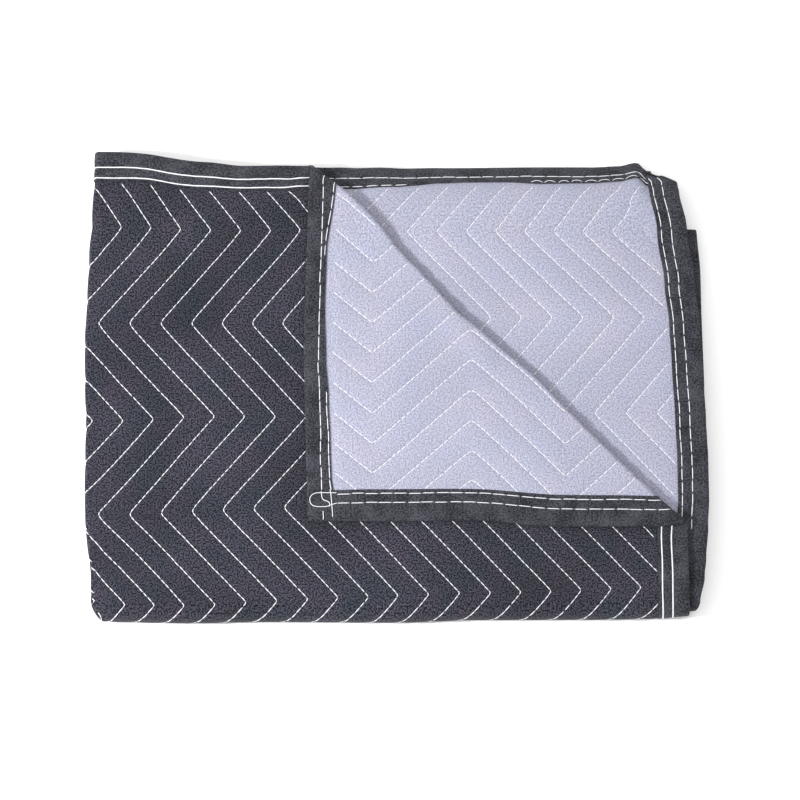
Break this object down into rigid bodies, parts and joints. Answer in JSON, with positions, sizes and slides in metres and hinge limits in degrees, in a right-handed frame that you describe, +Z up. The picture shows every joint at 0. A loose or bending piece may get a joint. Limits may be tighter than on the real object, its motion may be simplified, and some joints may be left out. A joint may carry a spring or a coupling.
{
  "type": "folded moving pad",
  "caption": "Quilted two-tone moving pad, charcoal over lavender-grey, bound on all edges and folded with one corner turned back.",
  "frame": {"origin": "under the middle of the folded pad's footprint, on the surface it lies on", "axes": "+X along the front fold, towards the bound edges; +Y from the front fold towards the edge that shows at the back; +Z up"},
  "size_m": [0.9336, 0.7294, 0.051],
  "materials": {
    "charcoal_face": "matt felted cloth",
    "lavender_face": "matt felted cloth",
    "binding": "matt woven cloth",
    "thread": "matt sewing thread"
  },
  "bodies": {
    "root": {"quilted_panel": "charcoal_face", "side_binding_upper": "binding", "side_binding_lower": "binding", "end_binding_back": "binding", "end_binding_tucked": "binding"}
  },
  "joints": []
}
